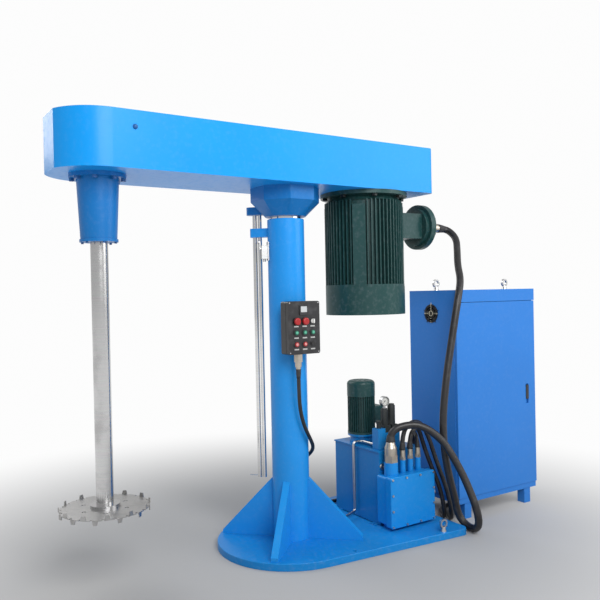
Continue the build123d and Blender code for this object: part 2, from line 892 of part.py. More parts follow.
def flange_bolts():
    solids = []
    flange_z = beam_z - spindle_flange
    for x, y in around(8, spindle_flange_radius - 15, spindle_x, 0, 22.5):
        solids.append(hexagon(13, flange_z - 14, flange_z, x, y))
    for x, y in around(6, spindle_foot_radius - 6, spindle_x, 0, 30):
        solids.append(hexagon(7, spindle_foot_z - 8, spindle_foot_z, x, y))
    motor_flange_z = beam_z - motor_flange
    for x, y in around(8, motor_flange_radius - 24, motor_x, 0, 22.5):
        solids.append(hexagon(17, motor_flange_z - 16, motor_flange_z, x, y))
    dome = Pos(-1003, -beam_half, 2306) * Sphere(13)
    dome = dome - block(-1030, -970, -beam_half, -beam_half + 20, 2280, 2330)
    solids.append(dome)
    return grouped(solids)


def pulley(x, bore):
    half = pulley_width / 2
    body = Cylinder(pulley_radius, pulley_width)
    top_half = belt_top_width / 2 + clear_gap
    low_half = top_half - 4
    depth = belt_depth + groove_extra
    for place in belt_offsets():
        groove = Polyline(
            (pulley_radius + 1, place - top_half - 0.3), (pulley_radius + 1, place + top_half + 0.3),
            (pulley_radius - depth, place + low_half), (pulley_radius - depth, place - low_half),
            close=True)
        body = body - revolve(Plane.XZ * make_face(groove), Axis.Z)
    for side in (-1, 1):
        dish = Pos(0, 0, side * (half - 20)) * (Cylinder(88, 42) - Cylinder(bore + 26, 42))
        body = body - dish
    body = body - Cylinder(bore, pulley_width + 2)
    return Pos(x, 0, pulley_mid) * body


def belt_offsets():
    first = -(belt_count - 1) / 2
    return [(first + step) * belt_pitch for step in range(belt_count)]


# Belts: a trapezoid that runs round both pulleys, clear of the groove walls
def drive_belts():
    belts = []
    wide = belt_top_width / 2 - 0.2
    narrow = wide - 3
    inner = pulley_radius - belt_depth
    span = motor_x - spindle_x
    for place in belt_offsets():
        z = pulley_mid + place
        profile = Polyline((pulley_radius, -wide), (pulley_radius, wide),
                           (inner, narrow), (inner, -narrow), close=True)
        face = Plane.XZ * make_face(profile)
        turned = revolve(Rot(0, 0, 90) * face, Axis.Z, 180)
        spindle_end = Pos(spindle_x, 0, z) * turned
        motor_end = Pos(motor_x, 0, z) * Rot(0, 0, 180) * turned
        straight = extrude(Plane.YZ * make_face(profile), span)
        near = Pos(spindle_x, 0, z) * straight
        far = Pos(motor_x, 0, z) * Rot(0, 0, 180) * straight
        belts.append(fuse(spindle_end, [near, motor_end, far]))
    return grouped(belts)


def spindle_shaft():
    foot = disc_z + disc_thickness / 2
    top = pulley_z + pulley_width + 14
    shaft = drum(shaft_radius, foot, top, spindle_x)
    return shaft + drum(hub_radius, foot, foot + hub_height, spindle_x)


# Disc with teeth bent up and down in turn round its rim
def dispersing_disc():
    half = disc_thickness / 2
    disc = drum(disc_radius, disc_z - half, disc_z + half, spindle_x)
    for x, y in around(6, 120, spindle_x, 0, 15):
        disc = disc - drum(11, disc_z - half - 1, disc_z + half + 1, x, y)
    for step in range(tooth_count):
        angle = 360 * step / tooth_count
        notch = Pos(disc_radius - 2, -tooth_length / 2 + 2, 0) * Box(22, 10, 3 * disc_thickness)
        disc = disc - Pos(spindle_x, 0, disc_z) * Rot(0, 0, angle) * notch
    teeth = []
    for step in range(tooth_count):
        side = 1 if step % 2 else -1
        profile = Polyline((-tooth_length / 2 + 8, 0), (tooth_length / 2, 0),
                           (tooth_length / 2 - 5, side * tooth_height),
                           (-tooth_length / 2 + 12, side * tooth_height), close=True)
        face = Plane.YZ * make_face(profile)
        tooth = extrude(face, half, both=True)
        tooth = Pos(disc_radius, 0, 0) * Rot(0, 0, 14) * tooth
        angle = 360 * step / tooth_count
        teeth.append(Pos(spindle_x, 0, disc_z) * Rot(0, 0, angle) * tooth)
    return fuse(disc, teeth)


# Main motor: finned frame with four plain pads, flange up, fan end down
def motor_frame():
    pads = (45, 135, 225, 315)
    pad_angle = math.degrees(math.asin(pad_width / 2 / fin_radius))
    body = finned_round(fin_root_radius, fin_radius, fin_count, fin_width,
                        motor_body_foot, motor_body_top, pads + (0,), pad_angle)
    for angle in pads:
        reach = fin_radius - 2
        pad = block(fin_root_radius - 12, reach, -pad_width / 2 + 6, pad_width / 2 - 6,
                    motor_body_foot, motor_body_top - 30)
        body = body + Rot(0, 0, angle) * pad
    flange_z = beam_z - motor_flange
    neck = cone(fin_root_radius + 12, motor_flange_radius - 60, motor_body_top, flange_z)
    flange = drum(motor_flange_radius, flange_z, beam_z)
    spigot = drum(cowl_radius - cowl_wall - clear_gap, motor_body_foot - 26, motor_body_foot)
    body = fuse(body, [neck, flange, spigot])
    body = body - drum(motor_shaft_radius + running_gap, motor_body_foot - 30, beam_z + 1)
    return Pos(motor_x, 0, 0) * body


def motor_cowl():
    top = motor_body_foot
    shell = ring(cowl_radius, cowl_radius - cowl_wall, cowl_foot, top)
    for angle in (45, 135, 225, 315):
        notch = Pos(cowl_radius, 0, top) * Box(30, pad_width, 28)
        shell = shell - Rot(0, 0, angle) * notch
    plate = drum(cowl_radius, cowl_foot, cowl_foot + 3)
    for radius in (70, 110, 150, 190, 226):
        band = ring(radius + 7, radius - 7, cowl_foot - 1, cowl_foot + 4)
        spokes = Box(500, 16, 12) + Rot(0, 0, 90) * Box(500, 16, 12)
        spokes = Pos(0, 0, cowl_foot) * Rot(0, 0, 22.5) * spokes
        plate = plate - (band - spokes)
    return Pos(motor_x, 0, 0) * (shell + plate)


def motor_rotor():
    foot = cowl_foot + 40
    top = pulley_z + pulley_width + 8
    shaft = drum(motor_shaft_radius, foot, top)
    hub = drum(62, foot + 6, foot + 84)
    blades = []
    for step in range(8):
        blade = block(56, 222, -3, 3, foot + 14, foot + 78)
        blades.append(Rot(0, 0, 45 * step) * blade)
    rotor = fuse(shaft, [hub] + blades)
    return Pos(motor_x, 0, 0) * rotor


# Terminal box: square neck, round drum and a bolted round cover
def terminal_box():
    start = motor_x + fin_root_radius - 14
    drum_x = motor_x + terminal_neck_reach
    half = terminal_neck_half
    neck = block(start, drum_x, -half, half, terminal_z - half, terminal_z + half)
    neck = neck - Pos(motor_x, 0, 0) * drum(fin_radius + 0.2, 1500, 2060)
    pad = block(start, drum_x - 40, -terminal_pad_half, terminal_pad_half,
                terminal_z - half + 6, terminal_z + half - 6)
    pad = pad - Pos(motor_x, 0, 0) * drum(fin_root_radius, 1500, 2060)
    neck = neck + pad
    body = rod_x(terminal_drum_radius, drum_x, drum_x + terminal_drum, 0, terminal_z)
    cover = rod_x(terminal_cover_radius, drum_x + terminal_drum,
                  drum_x + terminal_drum + terminal_cover, 0, terminal_z)
    outer = cover.faces().sort_by(Axis.X)[-1].edges()
    cover = chamfer(outer, 8)
    box = fuse(neck, [body, cover])
    face = drum_x + terminal_drum + terminal_cover
    for y, z in around(8, terminal_cover_radius - 20, 0, terminal_z, 22.5):
        box = box + rod_x(8, face - 4, face + 7, y, z)
    return box


def gland_face_x():
    return motor_x + terminal_neck_reach + terminal_drum + terminal_cover


def motor_gland():
    x0 = gland_face_x()
    length = motor_gland_length
    body = rod_x(50, x0, x0 + 22, 0, terminal_z)
    body = body + rod_x(38, x0 + 22, x0 + 62, 0, terminal_z)
    clamp = block(x0 + 62, x0 + 86, -22, 22, terminal_z - 76, terminal_z + 76)
    clamp = fillet(clamp.edges().filter_by(Axis.X), 12)
    body = body + clamp
    for side in (-1, 1):
        body = body + rod_x(9, x0 + 54, x0 + 96, 0, terminal_z + side * 60)
    nose = rod_x(33, x0 + 86, x0 + length - 22, 0, terminal_z)
    tip = rod_x(27, x0 + length - 22, x0 + length, 0, terminal_z)
    return fuse(body, [nose, tip])


# Cable routes, each from its gland to where it goes back into the machine
floor_rest = 0.5
motor_floor = motor_cable_diameter / 2 + floor_rest
supply_floor = supply_cable_diameter / 2 + floor_rest
plate_rest = base_thickness + control_cable_diameter / 2 + floor_rest
small_gland_top = box_top + boss_height + small_gland_height
motor_cable_end = (big_gland_x, gland_y + 8, box_top + boss_height + big_gland_height)
supply_end_1, supply_end_2, control_end = [
    (x, gland_y + 8, small_gland_top) for x in small_gland_xs]
motor_cable_points = [
    (gland_face_x() + motor_gland_length, 0, terminal_z), (1280, 0, terminal_z),
    (1316, -32, 1893), (1316, -95, 1835), (1255, -160, 1745), (1190, -225, 1645),
    (1112, -326, 1550), (1040, -372, 1440), (1002, -376, 1300), (968, -373, 1140),
    (932, -375, 1000), (903, -379, 860), (884, -380, 735), (880, -379, 610),
    (890, -380, 470), (915, -387, 330), (950, -398, 190), (972, -402, 80),
    (988, -458, motor_floor), (984, -536, motor_floor), (956, -592, 80), (940, -588, 170),
    (932, -548, 262), (916, -505, 360),
    (885, -460, 462), (846, -415, 559), (778, -365, 632), (721, -322, 663),
    (655, -284, 660), (600, -256, 642), (572, -242, 605), motor_cable_end]
supply_cable_points_1 = [
    supply_end_1, (small_gland_xs[0], -242, 600), (735, -238, 665), (835, -222, 655),
    (900, -224, 560), (940, -250, 395), (985, -305, 202), (1008, -320, supply_floor),
    (1110, -165, supply_floor), (1235, -120, supply_floor), (1420, -85, supply_floor),
    (1420, -85, entry_z)]
supply_cable_points_2 = [
    supply_end_2, (small_gland_xs[1], -242, 580), (785, -232, 628), (850, -195, 595),
    (895, -178, 505), (925, -205, 380), (968, -262, 202), (990, -275, supply_floor),
    (1085, -115, supply_floor), (1200, -60, supply_floor), (1388, -25, supply_floor),
    (1388, -25, entry_z)]
control_cable_points = [
    (station_gland_x, station_gland_y, station_gland_foot), (-42, -175, 950),
    (-30, -163, 820), (2, -152, 720), (52, -134, 640), (104, -95, 575), (136, -20, 520),
    (125, 62, 465), (82, 128, 400), (50, 192, 300), (52, 262, 190), (90, 338, 100),
    (190, 380, plate_rest), (330, 392, plate_rest), (500, 388, plate_rest),
    (680, 380, plate_rest), (830, 340, plate_rest), (905, 235, 60), (916, 100, 130),
    (918, -10, 240), (916, -60, 390), (900, -88, 510), (855, -135, 580), (815, -195, 582),
    (small_gland_xs[2], -242, 558), control_end]


def all_parts():
    parts = {
        "base_plate": base_plate(),
        "column_gussets": column_gussets(),
        "column_tube": column_tube(),
        "column_gland": column_gland(),
        "rod_bracket": rod_bracket(),
        "limit_switch": limit_switch(),
        "lifting_eyebolts": lifting_eyebolts(),
        "oil_tank": oil_tank(),
        "tank_lid": tank_lid(),
        "oil_pump": oil_pump(),
        "pump_motor_frame": pump_motor_frame(),
        "pump_motor_cowl": pump_motor_cowl(),
        "pump_fan": pump_fan(),
        "valve_block": valve_block(),
        "solenoid_valves": solenoid_valves(),
        "pressure_gauge": pressure_gauge(),
        "gauge_needle": gauge_needle(),
        "oil_pipe": oil_pipe(),
        "junction_box": junction_box(),
        "junction_cover": junction_cover(),
        "junction_bolts": junction_bolts(),
        "cable_glands": cable_glands(),
        "control_box": control_box(),
        "panel_meter": panel_meter(),
        "cabinet_shell": cabinet_shell(),
        "cabinet_door": cabinet_door(),
        "door_handle": door_handle(),
        "switchgear": switchgear(),
        "fan_guard": fan_guard(),
        "cabinet_fan": cabinet_fan(),
        "ram": ram(),
        "head_block": head_block(),
        "guide_rods": guide_rods(),
        "beam_housing": beam_housing(),
        "beam_cover": beam_cover(),
        "spindle_housing": spindle_housing(),
        "flange_bolts": flange_bolts(),
        "drive_belts": drive_belts(),
        "driven_pulley": pulley(spindle_x, shaft_radius),
        "drive_pulley": pulley(motor_x, motor_shaft_radius),
        "spindle_shaft": spindle_shaft(),
        "dispersing_disc": dispersing_disc(),
        "motor_frame": motor_frame(),
        "motor_cowl": motor_cowl(),
        "motor_rotor": motor_rotor(),
        "terminal_box": terminal_box(),
        "motor_gland": motor_gland(),
        "motor_cable": cable("motor_cable", motor_cable_points, motor_cable_diameter),
        "supply_cable_1": cable("supply_cable_1", supply_cable_points_1, supply_cable_diameter),
        "supply_cable_2": cable("supply_cable_2", supply_cable_points_2, supply_cable_diameter),
        "control_cable": cable("control_cable", control_cable_points, control_cable_diameter),
    }
    counts = {}
    for kind, x, z in controls():
        counts[kind] = counts.get(kind, 0) + 1
        if kind == "mushroom_button":
            solid = mushroom_button(x, z)
        elif kind == "selector_knob":
            solid = selector_knob(x, z)
        else:
            solid = push_button(x, z)
        single = kind in ("selector_knob", "black_button")
        name = kind if single else kind + "_" + str(counts[kind])
        parts[name] = solid
    return parts


os.makedirs("parts", exist_ok=True)
for node, shape in all_parts().items():
    export_step(shape, "parts/" + node + ".step")
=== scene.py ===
import bpy
import bmesh
import json
import math
from mathutils import Vector, Matrix


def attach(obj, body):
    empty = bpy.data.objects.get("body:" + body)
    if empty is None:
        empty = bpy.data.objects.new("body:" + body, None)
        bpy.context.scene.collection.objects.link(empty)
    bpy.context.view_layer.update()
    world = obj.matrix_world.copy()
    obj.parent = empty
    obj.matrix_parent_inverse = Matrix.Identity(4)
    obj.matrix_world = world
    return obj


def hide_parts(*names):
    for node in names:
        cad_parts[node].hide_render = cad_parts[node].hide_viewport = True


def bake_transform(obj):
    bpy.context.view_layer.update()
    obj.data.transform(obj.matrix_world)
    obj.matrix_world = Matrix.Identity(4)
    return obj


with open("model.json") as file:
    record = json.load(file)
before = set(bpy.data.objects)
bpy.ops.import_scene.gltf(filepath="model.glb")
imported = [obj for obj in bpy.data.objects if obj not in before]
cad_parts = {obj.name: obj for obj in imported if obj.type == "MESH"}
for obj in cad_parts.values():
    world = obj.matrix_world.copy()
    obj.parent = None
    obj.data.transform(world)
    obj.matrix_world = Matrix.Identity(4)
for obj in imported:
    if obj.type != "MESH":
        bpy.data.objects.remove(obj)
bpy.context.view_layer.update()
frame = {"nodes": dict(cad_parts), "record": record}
nodes = frame["nodes"]
mixerScene = bpy.context.scene


# The camera stands at eye height, well back on the left
cameraSettings = {
    "place": (-2.162366, -3.502583, 1.476236),
    "yaw": 32.753, "pitch": 0.46, "roll": -1.19,
    "lens": 41.488, "sensor": 36.0}


def placeCamera(settings):
    yaw, pitch, roll = (math.radians(settings[k]) for k in ("yaw", "pitch", "roll"))
    ahead = Vector((math.sin(yaw) * math.cos(pitch), math.cos(yaw) * math.cos(pitch),
                    -math.sin(pitch)))
    level = Vector((math.cos(yaw), -math.sin(yaw), 0))
    upright = level.cross(ahead)
    right = level * math.cos(roll) + upright * math.sin(roll)
    up = upright * math.cos(roll) - level * math.sin(roll)
    turn = Matrix((right, up, -ahead)).transposed().to_4x4()
    data = bpy.data.cameras.new("photoCamera")
    data.lens = settings["lens"]
    data.sensor_width = settings["sensor"]
    data.clip_end = 60
    camera = bpy.data.objects.new("photoCamera", data)
    camera.matrix_world = Matrix.Translation(settings["place"]) @ turn
    mixerScene.collection.objects.link(camera)
    mixerScene.camera = camera


placeCamera(cameraSettings)
print("camera placed")


# Node tools for the finishes
def newMaterial(name):
    material = bpy.data.materials.new(name)
    material.use_nodes = True
    tree = material.node_tree
    shader = tree.nodes["Principled BSDF"]
    return material, tree, shader


def addNode(tree, kind, **values):
    node = tree.nodes.new(kind)
    for key, value in values.items():
        if key in node.inputs.keys():
            node.inputs[key].default_value = value
        else:
            setattr(node, key, value)
    return node


def makeGroup(name, inputs, outputs):
    group = bpy.data.node_groups.new(name, "ShaderNodeTree")
    for label, kind, value in inputs:
        socket = group.interface.new_socket(label, in_out="INPUT", socket_type=kind)
        socket.default_value = value
    for label, kind in outputs:
        group.interface.new_socket(label, in_out="OUTPUT", socket_type=kind)
    start = group.nodes.new("NodeGroupInput")
    end = group.nodes.new("NodeGroupOutput")
    return group, start, end


def rampStops(ramp, stops):
    points = ramp.color_ramp.elements
    while len(points) < len(stops):
        points.new(0.5)
    for point, (place, value) in zip(points, stops):
        point.position = place
        point.color = (value, value, value, 1)


# Sprayed enamel: a slow drift of colour, faint dust and orange peel in the gloss
def buildPaintGroup():
    group, start, end = makeGroup(
        "sprayedEnamel",
        [("Colour", "NodeSocketColor", (0.1, 0.3, 0.6, 1)),
         ("Drift", "NodeSocketFloat", 0.12), ("Dust", "NodeSocketFloat", 0.15),
         ("Gloss", "NodeSocketFloat", 0.25), ("Peel", "NodeSocketFloat", 0.06)],
        [("Colour", "NodeSocketColor"), ("Roughness", "NodeSocketFloat"),
         ("Normal", "NodeSocketVector")])
    link = group.links.new
    place = addNode(group, "ShaderNodeTexCoord")
    slow = addNode(group, "ShaderNodeTexNoise", Scale=3.0, Detail=3.0)
    fine = addNode(group, "ShaderNodeTexNoise", Scale=45.0, Detail=6.0)
    peel = addNode(group, "ShaderNodeTexNoise", Scale=260.0, Detail=2.0)
    for noise in (slow, fine, peel):
        link(place.outputs["Object"], noise.inputs["Vector"])
    darker = addNode(group, "ShaderNodeMix", data_type="RGBA", blend_type="MULTIPLY")
    link(start.outputs["Colour"], darker.inputs[6])
    tone = addNode(group, "ShaderNodeValToRGB")
    rampStops(tone, [(0.3, 0.72), (0.62, 1.0)])
    link(slow.outputs["Fac"], tone.inputs["Fac"])
    link(tone.outputs["Color"], darker.inputs[7])
    link(start.outputs["Drift"], darker.inputs[0])
    dustMask = addNode(group, "ShaderNodeValToRGB")
    rampStops(dustMask, [(0.5, 0.0), (0.75, 1.0)])
    link(fine.outputs["Fac"], dustMask.inputs["Fac"])
    dustAmount = addNode(group, "ShaderNodeMath", operation="MULTIPLY")
    link(dustMask.outputs["Color"], dustAmount.inputs[0])
    link(start.outputs["Dust"], dustAmount.inputs[1])
    dusty = addNode(group, "ShaderNodeMix", data_type="RGBA", blend_type="MIX")
    dusty.inputs[7].default_value = (0.55, 0.58, 0.62, 1)
    link(dustAmount.outputs[0], dusty.inputs[0])
    link(darker.outputs[2], dusty.inputs[6])
    link(dusty.outputs[2], end.inputs["Colour"])
    rough = addNode(group, "ShaderNodeMath", operation="MULTIPLY_ADD")
    link(dustMask.outputs["Color"], rough.inputs[0])
    rough.inputs[1].default_value = 0.12
    link(start.outputs["Gloss"], rough.inputs[2])
    link(rough.outputs[0], end.inputs["Roughness"])
    bump = addNode(group, "ShaderNodeBump", Distance=0.0006)
    link(start.outputs["Peel"], bump.inputs["Strength"])
    link(peel.outputs["Fac"], bump.inputs["Height"])
    link(bump.outputs["Normal"], end.inputs["Normal"])
    return group


# Turned or ground metal: fine rings or streaks, with cloudy marks in its shine
def buildMetalGroup():
    group, start, end = makeGroup(
        "groundMetal",
        [("Colour", "NodeSocketColor", (0.6, 0.6, 0.6, 1)),
         ("Stretch", "NodeSocketVector", (4.0, 4.0, 300.0)),
         ("Marks", "NodeSocketFloat", 0.3), ("Rough", "NodeSocketFloat", 0.2),
         ("Depth", "NodeSocketFloat", 0.08)],
        [("Colour", "NodeSocketColor"), ("Roughness", "NodeSocketFloat"),
         ("Normal", "NodeSocketVector")])
    link = group.links.new
    place = addNode(group, "ShaderNodeTexCoord")
    scaled = addNode(group, "ShaderNodeVectorMath", operation="MULTIPLY")
    link(place.outputs["Object"], scaled.inputs[0])
    link(start.outputs["Stretch"], scaled.inputs[1])
    streak = addNode(group, "ShaderNodeTexNoise", Scale=1.0, Detail=5.0)
    link(scaled.outputs[0], streak.inputs["Vector"])
    cloud = addNode(group, "ShaderNodeTexNoise", Scale=9.0, Detail=5.0)
    link(place.outputs["Object"], cloud.inputs["Vector"])
    mark = addNode(group, "ShaderNodeValToRGB")
    rampStops(mark, [(0.45, 0.0), (0.7, 1.0)])
    link(cloud.outputs["Fac"], mark.inputs["Fac"])
    amount = addNode(group, "ShaderNodeMath", operation="MULTIPLY")
    link(mark.outputs["Color"], amount.inputs[0])
    link(start.outputs["Marks"], amount.inputs[1])
    stained = addNode(group, "ShaderNodeMix", data_type="RGBA", blend_type="MULTIPLY")
    stained.inputs[7].default_value = (0.42, 0.38, 0.34, 1)
    link(amount.outputs[0], stained.inputs[0])
    link(start.outputs["Colour"], stained.inputs[6])
    tone = addNode(group, "ShaderNodeMix", data_type="RGBA", blend_type="MULTIPLY")
    tone.inputs[0].default_value = 0.35
    link(stained.outputs[2], tone.inputs[6])
    link(streak.outputs["Color"], tone.inputs[7])
    desaturate = addNode(group, "ShaderNodeHueSaturation", Saturation=0.35)
    link(tone.outputs[2], desaturate.inputs["Color"])
    link(desaturate.outputs["Color"], end.inputs["Colour"])
    rough = addNode(group, "ShaderNodeMath", operation="MULTIPLY_ADD")
    link(amount.outputs[0], rough.inputs[0])
    rough.inputs[1].default_value = 0.5
    link(start.outputs["Rough"], rough.inputs[2])
    link(rough.outputs[0], end.inputs["Roughness"])
    bump = addNode(group, "ShaderNodeBump", Distance=0.0004)
    link(start.outputs["Depth"], bump.inputs["Strength"])
    link(streak.outputs["Fac"], bump.inputs["Height"])
    link(bump.outputs["Normal"], end.inputs["Normal"])
    return group


# Moulded skin of plastic or rubber: fine grain, pale scuffs and a little dust
def buildMouldedGroup():
    group, start, end = makeGroup(
        "mouldedSkin",
        [("Colour", "NodeSocketColor", (0.03, 0.03, 0.03, 1)),
         ("Grain", "NodeSocketFloat", 400.0), ("Scuff", "NodeSocketFloat", 0.2),
         ("Rough", "NodeSocketFloat", 0.5), ("Depth", "NodeSocketFloat", 0.15)],
        [("Colour", "NodeSocketColor"), ("Roughness", "NodeSocketFloat"),
         ("Normal", "NodeSocketVector")])
    link = group.links.new
    place = addNode(group, "ShaderNodeTexCoord")
    grain = addNode(group, "ShaderNodeTexNoise", Detail=3.0)
    link(place.outputs["Object"], grain.inputs["Vector"])
    link(start.outputs["Grain"], grain.inputs["Scale"])
    worn = addNode(group, "ShaderNodeTexNoise", Scale=22.0, Detail=7.0)
    link(place.outputs["Object"], worn.inputs["Vector"])
    mask = addNode(group, "ShaderNodeValToRGB")
    rampStops(mask, [(0.52, 0.0), (0.78, 1.0)])
    link(worn.outputs["Fac"], mask.inputs["Fac"])
    amount = addNode(group, "ShaderNodeMath", operation="MULTIPLY")
    link(mask.outputs["Color"], amount.inputs[0])
    link(start.outputs["Scuff"], amount.inputs[1])
    pale = addNode(group, "ShaderNodeMix", data_type="RGBA", blend_type="MIX")
    pale.inputs[7].default_value = (0.24, 0.24, 0.25, 1)
    link(amount.outputs[0], pale.inputs[0])
    link(start.outputs["Colour"], pale.inputs[6])
    link(pale.outputs[2], end.inputs["Colour"])
    rough = addNode(group, "ShaderNodeMath", operation="MULTIPLY_ADD")
    link(mask.outputs["Color"], rough.inputs[0])
    rough.inputs[1].default_value = 0.15
    link(start.outputs["Rough"], rough.inputs[2])
    link(rough.outputs[0], end.inputs["Roughness"])
    bump = addNode(group, "ShaderNodeBump", Distance=0.0005)
    link(start.outputs["Depth"], bump.inputs["Strength"])
    link(grain.outputs["Fac"], bump.inputs["Height"])
    link(bump.outputs["Normal"], end.inputs["Normal"])
    return group


enamelGroup = buildPaintGroup()
metalGroup = buildMetalGroup()
mouldedGroup = buildMouldedGroup()
finishes = {}


def useGroup(name, group, values, metallic=0.0, coat=0.0, specular=0.5):
    material, tree, shader = newMaterial(name)
    effect = tree.nodes.new("ShaderNodeGroup")
    effect.node_tree = group
    for key, value in values.items():
        effect.inputs[key].default_value = value
    tree.links.new(effect.outputs["Colour"], shader.inputs["Base Color"])
    tree.links.new(effect.outputs["Roughness"], shader.inputs["Roughness"])
    tree.links.new(effect.outputs["Normal"], shader.inputs["Normal"])
    shader.inputs["Metallic"].default_value = metallic
    shader.inputs["Coat Weight"].default_value = coat
    shader.inputs["Coat Roughness"].default_value = 0.08
    shader.inputs["Specular IOR Level"].default_value = specular
    finishes[name] = material
    return material


def paint(name, colour, gloss=0.36, drift=0.2, dust=0.03, peel=0.07, coat=0.03):
    return useGroup(name, enamelGroup, {
        "Colour": (*colour, 1), "Gloss": gloss, "Drift": drift, "Dust": dust,
        "Peel": peel}, coat=coat, specular=0.25)


def metal(name, colour, rough=0.2, stretch=(4, 4, 300), marks=0.3, depth=0.08):
    return useGroup(name, metalGroup, {
        "Colour": (*colour, 1), "Rough": rough, "Stretch": stretch, "Marks": marks,
        "Depth": depth}, metallic=1.0)


def moulded(name, colour, rough=0.45, grain=400.0, scuff=0.15, depth=0.15):
    return useGroup(name, mouldedGroup, {
        "Colour": (*colour, 1), "Rough": rough, "Grain": grain, "Scuff": scuff,
        "Depth": depth})


# One finish for each material slot of the record, then those of the pieces
paint("base_paint", (0.006, 0.22, 0.60), gloss=0.36, dust=0.07)
paint("column_paint", (0.013, 0.270, 0.720), gloss=0.28)
paint("beam_paint", (0.003, 0.283, 0.753), gloss=0.32, drift=0.15, dust=0.02)
paint("head_paint", (0.005, 0.150, 0.440), gloss=0.34)
paint("tank_paint", (0.006, 0.19, 0.5), gloss=0.3)
paint("box_paint", (0.006, 0.24, 0.66), gloss=0.3)
paint("cabinet_paint", (0.024, 0.185, 0.580), gloss=0.46, drift=0.15, peel=0.25, coat=0.03)
paint("motor_paint", (0.014, 0.056, 0.055), gloss=0.36, dust=0.06)
metal("chrome", (0.82, 0.83, 0.84), rough=0.08, marks=0.12, depth=0.02)
metal("spindle_steel", (0.66, 0.66, 0.67), rough=0.2, marks=0.3)
metal("dark_steel", (0.16, 0.16, 0.16), rough=0.35)
metal("zinc_steel", (0.62, 0.63, 0.65), rough=0.28, stretch=(60, 60, 60), marks=0.2)
metal("disc_steel", (0.5, 0.49, 0.48), rough=0.32, stretch=(90, 90, 90), marks=0.45)
metal("cast_iron", (0.13, 0.13, 0.13), rough=0.5, stretch=(150, 150, 150), depth=0.3)
moulded("belt_rubber", (0.02, 0.02, 0.02), rough=0.7)
moulded("cable_rubber", (0.014, 0.013, 0.014), rough=0.38, grain=150.0, scuff=0.12)
metal("brass", (0.62, 0.47, 0.24), rough=0.3, stretch=(50, 50, 200), marks=0.4)
moulded("black_box", (0.016, 0.016, 0.018), rough=0.35, grain=500.0)
moulded("meter_plastic", (0.03, 0.03, 0.033), rough=0.25)
moulded("dark_plastic", (0.03, 0.03, 0.032), rough=0.5)
moulded("coil_plastic", (0.014, 0.018, 0.018), rough=0.45)
moulded("gear_plastic", (0.55, 0.55, 0.53), rough=0.5, scuff=0.05)
paint("guard_paint", (0.62, 0.58, 0.45), gloss=0.4)
moulded("green_plastic", (0.008, 0.120, 0.075), rough=0.3, scuff=0.05)
moulded("red_plastic", (0.36, 0.012, 0.014), rough=0.32, scuff=0.05)
moulded("black_plastic", (0.015, 0.015, 0.015), rough=0.35, scuff=0.05)
metal("aluminium", (0.6, 0.6, 0.6), rough=0.4)
moulded("knob_white", (0.66, 0.66, 0.64), rough=0.35, scuff=0.05)
moulded("lens_green", (0.10, 0.40, 0.27), rough=0.22, scuff=0.02)
moulded("lens_red", (0.62, 0.26, 0.25), rough=0.22, scuff=0.02)
moulded("meter_window", (0.50, 0.52, 0.53), rough=0.2, grain=900.0, scuff=0.02)
metal("bare_label", (0.66, 0.66, 0.65), rough=0.34, stretch=(300, 300, 8), marks=0.15)
moulded("boot_rubber", (0.022, 0.022, 0.023), rough=0.6, grain=700.0, scuff=0.1)
print("finishes built:", len(finishes))

slotOfNode = {part["node"]: part["material_slot"] for part in frame["record"]["subparts"]}
for name, node in nodes.items():
    node.data.materials.clear()
    node.data.materials.append(finishes[slotOfNode[name]])


# Two shaders over one mask, for a node that carries two colours
def twoTone(name, group, values, first, second):
    material, tree, shader = newMaterial(name)
    mask = tree.nodes.new("ShaderNodeGroup")
    mask.node_tree = group
    for key, value in values.items():
        mask.inputs[key].default_value = value
    skins = []
    for colour, metallic, rough in (first, second):
        skin = tree.nodes.new("ShaderNodeGroup")
        skin.node_tree = metalGroup if metallic else enamelGroup
        skin.inputs["Colour"].default_value = (*colour, 1)
        skin.inputs["Rough" if metallic else "Gloss"].default_value = rough
        body = tree.nodes.new("ShaderNodeBsdfPrincipled")
        body.inputs["Metallic"].default_value = metallic
        for socket, target in (("Colour", "Base Color"), ("Roughness", "Roughness"),
                               ("Normal", "Normal")):
            tree.links.new(skin.outputs[socket], body.inputs[target])
        skins.append(body)
    mix = tree.nodes.new("ShaderNodeMixShader")
    tree.links.new(mask.outputs["Mask"], mix.inputs[0])
    tree.links.new(skins[0].outputs[0], mix.inputs[1])
    tree.links.new(skins[1].outputs[0], mix.inputs[2])
    tree.links.new(mix.outputs[0], tree.nodes["Material Output"].inputs["Surface"])
    finishes[name] = material


# Mask that turns on beyond a place along X
def buildSideMask():
    group, start, end = makeGroup("sideMask", [("Edge", "NodeSocketFloat", 0.0)],
                                  [("Mask", "NodeSocketFloat")])
    place = addNode(group, "ShaderNodeTexCoord")
    parts = group.nodes.new("ShaderNodeSeparateXYZ")
    beyond = addNode(group, "ShaderNodeMath", operation="GREATER_THAN")
    group.links.new(place.outputs["Object"], parts.inputs[0])
    group.links.new(parts.outputs["X"], beyond.inputs[0])
    group.links.new(start.outputs["Edge"], beyond.inputs[1])
    group.links.new(beyond.outputs[0], end.inputs["Mask"])
    return group


